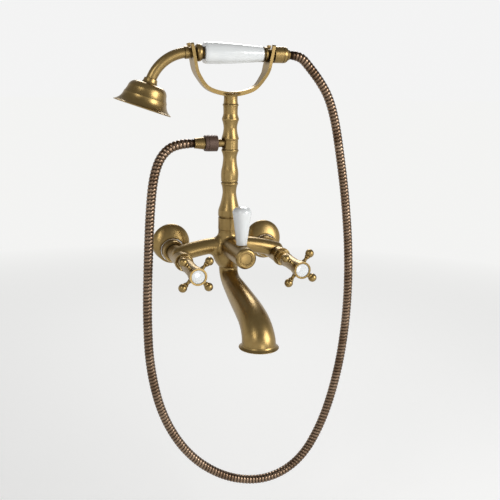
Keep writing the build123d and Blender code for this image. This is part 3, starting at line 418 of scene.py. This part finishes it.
def hose_metal(name, finish):
    """Aged strip metal: rubbed copper-brown on the ribs, made paler as painted highlight, near black in the
    grooves as painted shade.
    """
    shader = Shader(name)
    crest = shader.add("ShaderNodeAttribute", {"attribute_name": "crest"}, {}, "Fac")
    cloud = shader.noise(35, 3.0, 0.6)
    scratch = shader.noise(900, 4.0, 0.6)
    aged = tuple(finish.hose)
    # Painted highlight: the rubbed colour is made much paler than the aged metal to stand for the lamps'
    # glints on the ribs, as well as real rubbing
    rubbed_and_highlit = (aged[0] * 4.2, aged[1] * 5.4, aged[2] * 7.0)
    metal = shader.blend((cloud * 1.5 + scratch * 0.5 - 0.6).clear(), aged, rubbed_and_highlit)
    # Painted shade: the grooves between the ribs go near black by the rib height
    colour = shader.blend((crest ** 2.0 * 1.1 - 0.05).clear(), (0.018, 0.010, 0.005), metal)
    roughness = 0.16 + (1 - crest) * 0.3 + scratch * 0.08
    return shader.finish(base_color=colour, metallic=1.0, roughness=roughness)


def put_on(nodes, material):
    """Gives the named pieces a material in all their slots."""
    for name in nodes:
        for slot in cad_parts[name].material_slots:
            slot.material = material


def route_points(resolution):
    """Points along the hose's NURBS line, as Blender works them out for a curve with no bevel."""
    curve = bpy.data.curves.new("hose_line", "CURVE")
    curve.dimensions = "3D"
    curve.resolution_u = resolution
    spline = curve.splines.new("NURBS")
    spline.points.add(len(HOSE_ROUTE) - 1)
    for point, (x, z) in zip(spline.points, HOSE_ROUTE):
        point.co = (x, -RISER_OUT, z, 1.0)
    spline.order_u = 3
    spline.use_endpoint_u = True
    holder = bpy.data.objects.new("hose_line", curve)
    mesh = bpy.data.meshes.new_from_object(holder)
    points = np.empty(len(mesh.vertices) * 3)
    mesh.vertices.foreach_get("co", points)
    bpy.data.objects.remove(holder)
    bpy.data.meshes.remove(mesh)
    bpy.data.curves.remove(curve)
    return points.reshape(-1, 3)


def along_line(points, places):
    """Positions and directions at given lengths along a line of points, by linear steps between them."""
    steps = np.linalg.norm(np.diff(points, axis=0), axis=1)
    lengths = np.concatenate([[0.0], np.cumsum(steps)])
    at = np.stack([np.interp(places, lengths, points[:, k]) for k in range(3)], axis=1)
    heading = np.gradient(points, lengths, axis=0)
    way = np.stack([np.interp(places, lengths, heading[:, k]) for k in range(3)], axis=1)
    return at, way / np.linalg.norm(way, axis=1, keepdims=True)


def grid_faces(rows, columns):
    """Quads of a grid whose columns run round and close on themselves."""
    row, column = np.meshgrid(np.arange(rows - 1), np.arange(columns), indexing="ij")
    after = (column + 1) % columns
    corners = [row * columns + column, row * columns + after, (row + 1) * columns + after,
               (row + 1) * columns + column]
    return np.stack(corners, axis=-1).reshape(-1, 4)


def mesh_object(name, vertices, faces, smooth=True):
    """An object at the origin, made of points and of faces given by the points' numbers."""
    mesh = bpy.data.meshes.new(name)
    mesh.from_pydata(vertices.tolist(), [], faces)
    mesh.polygons.foreach_set("use_smooth", [smooth] * len(mesh.polygons))
    mesh.update()
    thing = bpy.data.objects.new(name, mesh)
    bpy.context.scene.collection.objects.link(thing)
    return thing


class MIXER_OT_view(bpy.types.Operator):
    """Sets the camera where the photograph was taken from"""

    bl_idname = "mixer.view"
    bl_label = "View"

    def execute(self, context):
        lens = bpy.data.cameras.new("photo_view")
        lens.sensor_width = SENSOR_WIDTH
        lens.lens = FOCAL_PIXELS / FRAME_PIXELS * SENSOR_WIDTH
        lens.clip_start = 0.05
        lens.clip_end = 100.0
        camera = bpy.data.objects.new("photo_view", lens)
        turn = Matrix((LENS_RIGHT, LENS_UP, -LENS_FORWARD)).transposed().to_4x4()
        camera.matrix_world = Matrix.Translation(LENS_PLACE) @ turn
        context.scene.collection.objects.link(camera)
        context.scene.camera = camera
        return {"FINISHED"}


class MIXER_OT_hose(bpy.types.Operator):
    """Makes the ribbed hose along its hanging loop"""

    bl_idname = "mixer.hose"
    bl_label = "Hose"

    def execute(self, context):
        """Sweeps a circle whose radius is the rib's height above the groove.

        The rib's height over its share u of the pitch is 1 - |2u - 1| cubed, and u also runs once round the
        hose, so the ribs form one helix. The ribs fade out at both ends, which are closed by one face each.
        """
        sizes = context.scene.mixer_hose
        points = route_points(ROUTE_RESOLUTION)
        total = np.linalg.norm(np.diff(points, axis=0), axis=1).sum()
        rows = int(round(total / sizes.pitch)) * sizes.along + 1
        places = np.linspace(0.0, total, rows)
        at, way = along_line(points, places)
        across = np.array([0.0, 1.0, 0.0])
        side = np.cross(way, across)
        angle = np.arange(sizes.around) / sizes.around * 2 * math.pi
        share = np.mod(places[:, None] / sizes.pitch - angle[None, :] / (2 * math.pi), 1.0)
        fade_length = 2 * sizes.pitch
        fade = np.clip(np.minimum(places, total - places) / fade_length, 0.0, 1.0)[:, None]
        crest = (1 - np.abs(2 * share - 1) ** 3) * fade
        radius = sizes.radius - sizes.groove * (1 - crest)
        outward = np.cos(angle)[None, :, None] * across + np.sin(angle)[None, :, None] * side[:, None, :]
        vertices = (at[:, None, :] + radius[:, :, None] * outward).reshape(-1, 3)
        ring = np.arange(sizes.around)
        ends = [ring.tolist(), (ring[::-1] + (rows - 1) * sizes.around).tolist()]
        faces = grid_faces(rows, sizes.around)[:, ::-1].tolist()
        hose = mesh_object("ribbed_hose_strip", vertices, faces + ends)
        height = hose.data.attributes.new("crest", "FLOAT", "POINT")
        height.data.foreach_set("value", crest.reshape(-1).astype(np.float32))
        hose.data.materials.append(hose_metal("hose_metal_aged", context.scene.mixer_finish))
        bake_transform(hose)
        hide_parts("ribbed_hose")
        return {"FINISHED"}


class MIXER_OT_brass(bpy.types.Operator):
    """Finishes the brass pieces, brushed the way that each was turned or drawn"""

    bl_idname = "mixer.brass"
    bl_label = "Brass"

    def execute(self, context):
        finish = context.scene.mixer_finish
        along, across = 0.12, 1.0  # how fast the brushed lines change along and across their run
        put_on(BRUSHED_ROUND_Z, aged_brass("brass_turned_upright", (along, along, across), finish))
        put_on(BRUSHED_ROUND_Y, aged_brass("brass_turned_outward", (along, across, along), finish))
        put_on(BRUSHED_ROUND_X, aged_brass("brass_turned_sideways", (across, along, along), finish, 0.9))
        put_on(BRUSHED_LENGTHWISE, aged_brass("brass_drawn", (across, along, along), finish))
        put_on(["spray_plate"], spray_face("brass_spray_face", finish))
        put_on(["hose_nut_outlet"], dark_grip("lacquered_grip"))
        put_on(MACHINED, machined_brass("brass_machined"))
        return {"FINISHED"}


class MIXER_OT_ceramics(bpy.types.Operator):
    """Finishes the glazed and the ground ceramic pieces"""

    bl_idname = "mixer.ceramics"
    bl_label = "Ceramics"

    def execute(self, context):
        finish = context.scene.mixer_finish
        put_on(GLAZED, white_glaze("white_glaze", finish))
        put_on(LAPPED, lapped_ceramic("lapped_ceramic"))
        return {"FINISHED"}


class MIXER_OT_small_parts(bpy.types.Operator):
    """Finishes the screws and the seals"""

    bl_idname = "mixer.small_parts"
    bl_label = "Screws and Seals"

    def execute(self, context):
        put_on(STEEL, screw_steel("screw_steel_dull"))
        put_on(RUBBER, seal_rubber("seal_rubber_black"))
        return {"FINISHED"}


class MIXER_OT_stage(bpy.types.Operator):
    """Makes the pale floor, the lamps and the studio's light"""

    bl_idname = "mixer.stage"
    bl_label = "Stage"

    def execute(self, context):
        sizes = context.scene.mixer_stage
        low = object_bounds()[0]
        half = sizes.floor_size / 2
        level = low.z - sizes.floor_drop
        corners = np.array([(-half, -half, level), (half, -half, level), (half, half, level),
                            (-half, half, level)])
        floor = mesh_object("floor", corners, [(0, 1, 2, 3)], smooth=False)
        floor.data.materials.append(self.floor_paint())
        floor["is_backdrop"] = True
        for name, (place, width, share) in LAMPS.items():
            self.lamp(name, Vector(place), width, sizes.lamp_power * share)
        self.studio(context)
        return {"FINISHED"}

    @staticmethod
    def floor_paint():
        """Pale paint that turns into the glow of the room from 0.7 to 2.5 metres from the mixer."""
        shader = Shader("floor_paint")
        speck = shader.noise(40, 3.0, 0.5)
        distance = shader.add("ShaderNodeVectorMath", {"operation": "LENGTH"}, {0: shader.place}, "Value")
        far = shader.ramp(distance * 0.2, [(0.14, 0.0), (0.5, 1.0)])
        paint = shader.blend(far, PALE, (0.0, 0.0, 0.0))
        glow = shader.blend(far, (0.24, 0.24, 0.24), PALE)
        shader.surface.inputs["Emission Strength"].default_value = 1.0
        shader.surface.inputs["Specular IOR Level"].default_value = 0.0
        return shader.finish(base_color=paint, roughness=0.85 + speck * 0.1, emission_color=glow)

    @staticmethod
    def lamp(name, place, width, power):
        """A round soft lamp that faces the mixer's middle."""
        light = bpy.data.lights.new(name, "AREA")
        light.shape = "DISK"
        light.size = width
        light.energy = power
        lamp = bpy.data.objects.new(name, light)
        lamp.location = place
        lamp.rotation_euler = (LAMP_TARGET - place).to_track_quat("-Z", "Y").to_euler()
        bpy.context.scene.collection.objects.link(lamp)

    @staticmethod
    def studio(context):
        """A pale room, darker overhead, that lights matt surfaces less than it shows."""
        world = bpy.data.worlds.new("studio")
        context.scene.world = world
        room = Tree(world)
        place = room.add("ShaderNodeTexCoord", {}, {}, "Generated")
        height = room.add("ShaderNodeSeparateXYZ", {}, {"Vector": place}, "Z")
        glow = room.ramp(height, [(0.0, PALE[0]), (0.12, PALE[0]), (0.5, OVERHEAD)])
        light = room.add("ShaderNodeBackground", {}, {"Color": glow, "Strength": ROOM_LIGHT})
        shown = room.add("ShaderNodeBackground", {}, {"Color": glow, "Strength": 1.0})
        seen = room.add("ShaderNodeLightPath", {}, {}, "Is Camera Ray")
        seen = seen.larger(seen.sibling("Is Glossy Ray")).larger(seen.sibling("Is Transmission Ray"))
        mixed = room.add("ShaderNodeMixShader", {}, {0: seen, 1: light, 2: shown})
        room.add("ShaderNodeOutputWorld", {}, {"Surface": mixed}, None)
        context.scene.view_settings.view_transform = "Standard"


class MIXER_PT_panel(bpy.types.Panel):
    """Lists the mixer's operators and sizes"""

    bl_idname = "MIXER_PT_panel"
    bl_label = "Bath Shower Mixer"
    bl_space_type = "VIEW_3D"
    bl_region_type = "UI"
    bl_category = "Mixer"

    def draw(self, context):
        for operator in OPERATORS:
            self.layout.operator(operator.bl_idname)
        for group in (context.scene.mixer_finish, context.scene.mixer_hose, context.scene.mixer_stage):
            for name in group.__annotations__:
                self.layout.prop(group, name)


GROUPS = {"mixer_finish": MixerFinish, "mixer_hose": MixerHose, "mixer_stage": MixerStage}
OPERATORS = [MIXER_OT_view, MIXER_OT_hose, MIXER_OT_brass, MIXER_OT_ceramics, MIXER_OT_small_parts,
             MIXER_OT_stage]


def register():
    for group in GROUPS.values():
        bpy.utils.register_class(group)
    for name, group in GROUPS.items():
        setattr(bpy.types.Scene, name, PointerProperty(type=group))
    for operator in OPERATORS:
        bpy.utils.register_class(operator)
    bpy.utils.register_class(MIXER_PT_panel)


def unregister():
    bpy.utils.unregister_class(MIXER_PT_panel)
    for operator in reversed(OPERATORS):
        bpy.utils.unregister_class(operator)
    for name, group in reversed(list(GROUPS.items())):
        delattr(bpy.types.Scene, name)
        bpy.utils.unregister_class(group)


def main():
    """Builds everything in order."""
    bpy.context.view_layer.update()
    register()
    bpy.ops.mixer.view()
    bpy.ops.mixer.hose()
    bpy.ops.mixer.brass()
    bpy.ops.mixer.ceramics()
    bpy.ops.mixer.small_parts()
    bpy.ops.mixer.stage()


if __name__ == "__main__":
    main()
